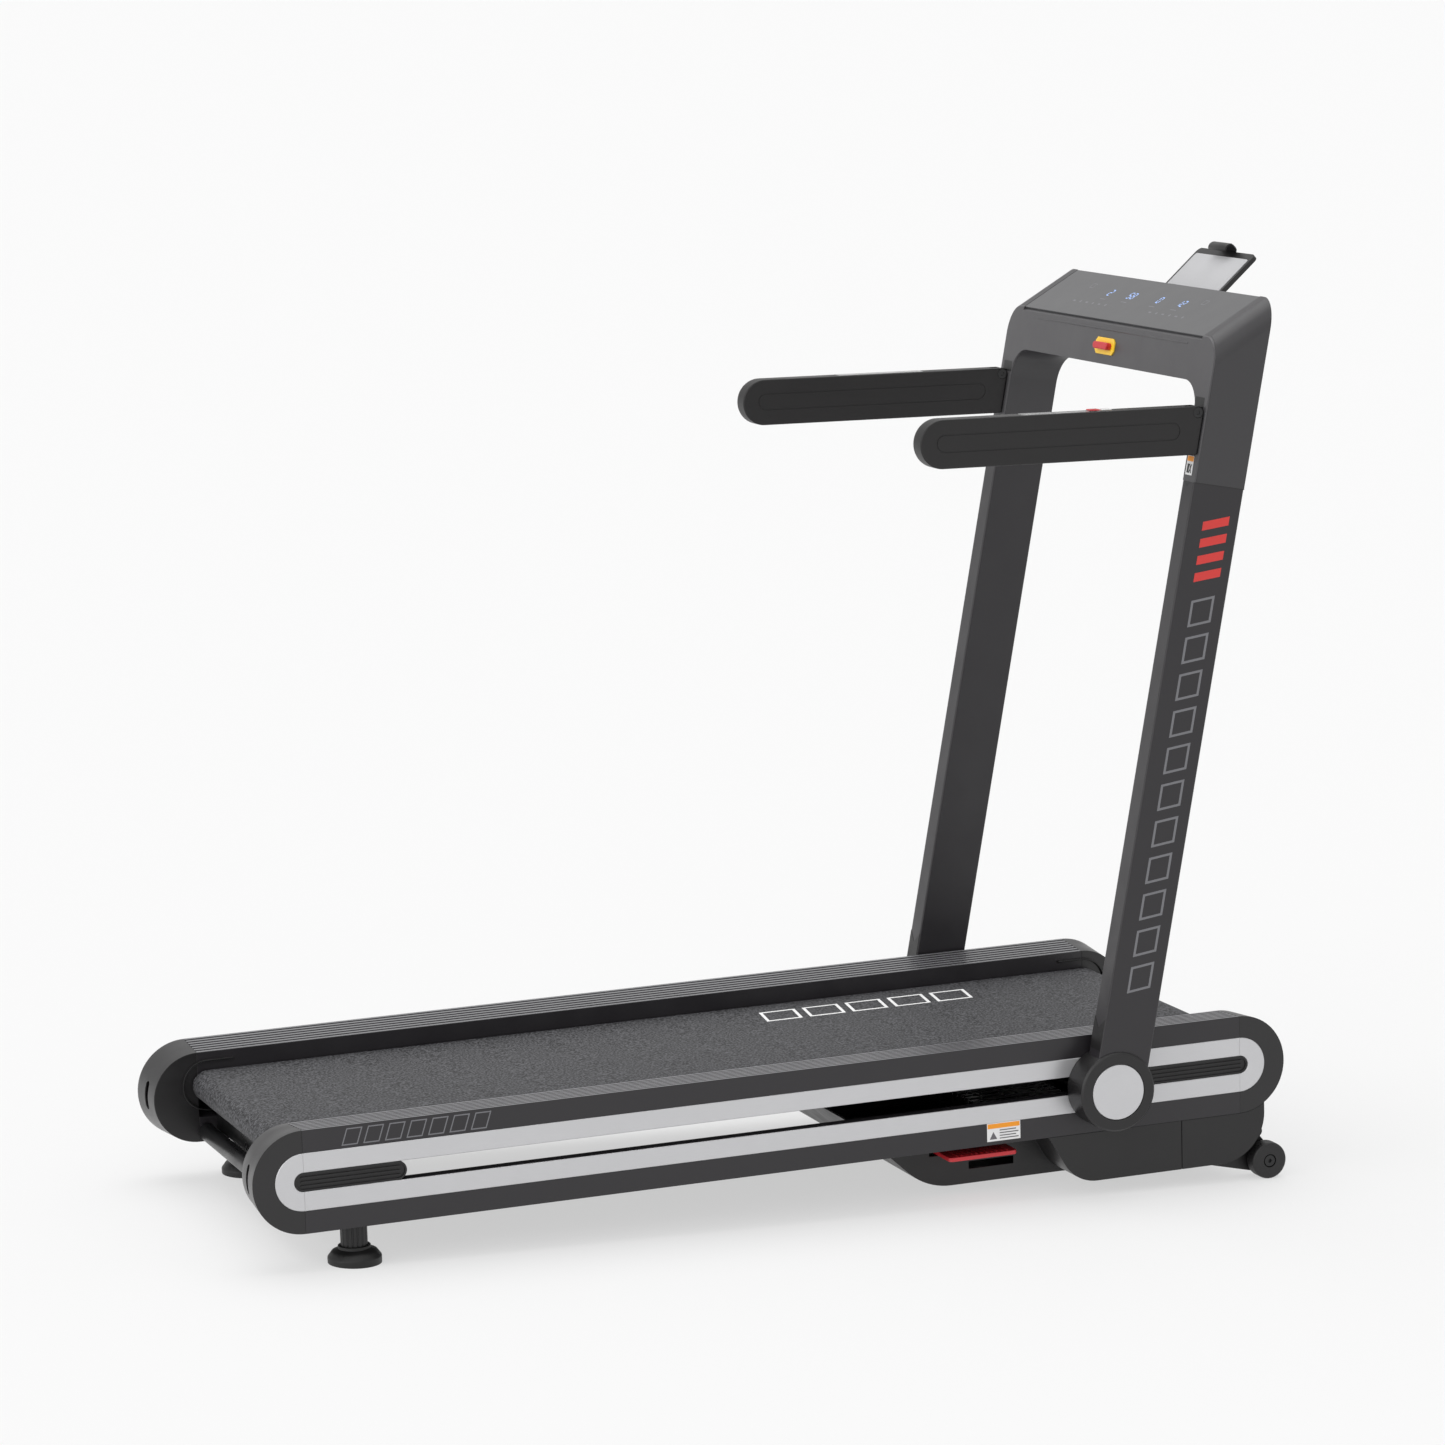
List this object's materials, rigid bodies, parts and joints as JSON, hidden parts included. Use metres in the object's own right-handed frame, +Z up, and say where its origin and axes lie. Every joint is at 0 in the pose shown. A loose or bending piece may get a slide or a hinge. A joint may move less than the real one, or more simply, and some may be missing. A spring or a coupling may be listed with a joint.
{
  "type": "folding treadmill",
  "caption": "Flat-folding treadmill: low running deck between slotted side rails, twin leaning uprights, bridge console with phone rest, swing-up handrails, levelling feet and transport wheels.",
  "frame": {"origin": "on the floor, under the middle of the overall box", "axes": "+X forward, the way the user faces; +Y to the user's left; +Z up"},
  "size_m": [1.6324, 0.713, 1.3763],
  "materials": {
    "rail_paint": "dark grey powder coat, fine texture",
    "cap_plastic": "dark grey moulded plastic, satin",
    "silver_band": "satin anodised silver",
    "black_plastic": "black moulded plastic",
    "belt": "black PVC running belt with a fine orange-peel grain",
    "drive_rubber": "black ribbed rubber",
    "board": "phenolic-faced board",
    "cushion": "soft rubber",
    "steel": "bright steel",
    "black_steel": "black powder-coated steel",
    "mast_paint": "dark grey powder coat",
    "motor": "black enamelled motor case",
    "casing": "dark grey moulded casing",
    "console": "dark grey satin moulding",
    "glass": "tinted touch panel",
    "handrail": "near-black moulded grip",
    "wheel": "hard black rubber",
    "foot_rubber": "black rubber",
    "red": "red moulded plastic",
    "yellow": "yellow moulded plastic",
    "sensor": "stainless steel sensor plate",
    "key_white": "white key",
    "pad_grey": "light grey non-slip pad"
  },
  "bodies": {
    "deck": {"rail_upper_left": "rail_paint", "rail_upper_right": "rail_paint", "rail_lower_left": "rail_paint", "rail_lower_right": "rail_paint", "rear_caps": "cap_plastic", "front_caps": "cap_plastic", "slot_bands": "silver_band", "slot_plugs": "black_plastic", "rear_cross_tube": "black_steel", "cross_members": "black_steel", "deck_cushions": "cushion", "deck_board": "board", "running_belt": "belt", "roller_bearings": "steel", "rear_axle": "steel", "tension_bolts": "steel", "drive_belt": "drive_rubber", "drive_motor": "motor", "belly_pan": "casing", "front_cover": "casing", "power_inlet": "black_plastic", "motor_controller": "motor", "wheel_arms": "black_steel", "wheel_bolts": "black_steel", "pedal_bracket": "steel", "pivot_barrels": "black_steel"},
    "front_roller": {"front_roller": "steel", "roller_pulley": "black_plastic"},
    "rear_roller": {"rear_roller": "steel"},
    "motor_rotor": {"motor_rotor": "steel"},
    "power_rocker": {"power_rocker": "red"},
    "wheel_left": {"transport_wheel_left": "wheel"},
    "wheel_right": {"transport_wheel_right": "wheel"},
    "foot_left": {"foot_stem_left": "black_plastic", "foot_pad_left": "foot_rubber"},
    "foot_right": {"foot_stem_right": "black_plastic", "foot_pad_right": "foot_rubber"},
    "release_pedal": {"release_pedal": "red"},
    "mast": {"pivot_shafts": "steel", "hub_left": "casing", "hub_right": "casing", "hub_discs": "silver_band", "upright_left": "mast_paint", "upright_right": "mast_paint", "console_shell": "console", "console_fascia": "console", "console_glass": "glass", "safety_key_seat": "yellow", "handrail_pivots": "black_steel", "phone_rest_bracket": "black_steel"},
    "safety_key": {"safety_key": "red"},
    "handrail_left": {"handrail_left": "handrail", "pulse_plate_left": "sensor"},
    "handrail_right": {"handrail_right": "handrail", "pulse_plate_right": "sensor"},
    "speed_key_up": {"speed_key_up": "key_white"},
    "speed_key_down": {"speed_key_down": "red"},
    "phone_rest": {"phone_rest": "casing", "phone_pad": "pad_grey"},
    "phone_clamp": {"phone_clamp": "casing"}
  },
  "joints": [
    {"name": "mast_fold", "type": "hinge", "parent": "deck", "child": "mast", "pos_m": [0.48145, 0, 0.16658], "axis": [0, -1, 0], "range_deg": [0, 94.5]},
    {"name": "handrail_left_fold", "type": "hinge", "parent": "mast", "child": "handrail_left", "pos_m": [0.59353, 0.336, 1.1534], "axis": [0, 1, 0], "range_deg": [0, 99]},
    {"name": "handrail_right_fold", "type": "hinge", "parent": "mast", "child": "handrail_right", "pos_m": [0.59353, -0.336, 1.1534], "axis": [0, 1, 0], "range_deg": [0, 99]},
    {"name": "phone_rest_tilt", "type": "hinge", "parent": "mast", "child": "phone_rest", "pos_m": [0.7143, 0, 1.26037], "axis": [0, 1, 0], "range_deg": [-9, 35]},
    {"name": "phone_clamp_slide", "type": "slide", "parent": "phone_rest", "child": "phone_clamp", "axis": [0.7319, 0, 0.6814], "range_m": [0, 0.022], "stiffness_N_per_m": 120, "springref_m": -0.01},
    {"name": "front_roller_spin", "type": "hinge", "parent": "deck", "child": "front_roller", "pos_m": [0.70356, 0, 0.19636], "axis": [0, 1, 0], "continuous": true},
    {"name": "rear_roller_spin", "type": "hinge", "parent": "deck", "child": "rear_roller", "pos_m": [-0.72261, 0, 0.1478], "axis": [0, 1, 0], "continuous": true},
    {"name": "motor_spin", "type": "hinge", "parent": "deck", "child": "motor_rotor", "pos_m": [0.66453, 0, 0.07926], "axis": [0, 1, 0], "continuous": true},
    {"name": "wheel_left_spin", "type": "hinge", "parent": "deck", "child": "wheel_left", "pos_m": [0.75934, 0.292, 0.02746], "axis": [0, 1, 0], "continuous": true},
    {"name": "wheel_right_spin", "type": "hinge", "parent": "deck", "child": "wheel_right", "pos_m": [0.75934, -0.292, 0.02746], "axis": [0, 1, 0], "continuous": true},
    {"name": "foot_left_level", "type": "slide", "parent": "deck", "child": "foot_left", "axis": [0.034, 0, -0.9994], "range_m": [0, 0.01]},
    {"name": "foot_right_level", "type": "slide", "parent": "deck", "child": "foot_right", "axis": [0.034, 0, -0.9994], "range_m": [0, 0.01]},
    {"name": "release_pedal_press", "type": "hinge", "parent": "deck", "child": "release_pedal", "pos_m": [0.29653, -0.212, 0.07274], "axis": [0.9994, 0, 0.034], "range_deg": [0, 10], "stiffness_Nm_per_rad": 4, "springref_deg": -14.32},
    {"name": "power_rocker_tip", "type": "hinge", "parent": "deck", "child": "power_rocker", "pos_m": [0.74854, 0.096, 0.08012], "axis": [-0.034, 0, 0.9994], "range_deg": [-7, 7]},
    {"name": "safety_key_pull", "type": "slide", "parent": "mast", "child": "safety_key", "axis": [-0.987, 0, 0.1607], "range_m": [0, 0.018]},
    {"name": "speed_key_up_press", "type": "slide", "parent": "handrail_right", "child": "speed_key_up", "axis": [0.0166, 0, -0.9999], "range_m": [0, 0.0008], "stiffness_N_per_m": 500, "springref_m": -0.0004},
    {"name": "speed_key_down_press", "type": "slide", "parent": "handrail_right", "child": "speed_key_down", "axis": [0.0166, 0, -0.9999], "range_m": [0, 0.0008], "stiffness_N_per_m": 500, "springref_m": -0.0004}
  ],
  "couplings": [
    {"joint": "rear_roller_spin", "follows": "front_roller_spin", "ratio": 1},
    {"joint": "motor_spin", "follows": "front_roller_spin", "ratio": 2}
  ]
}
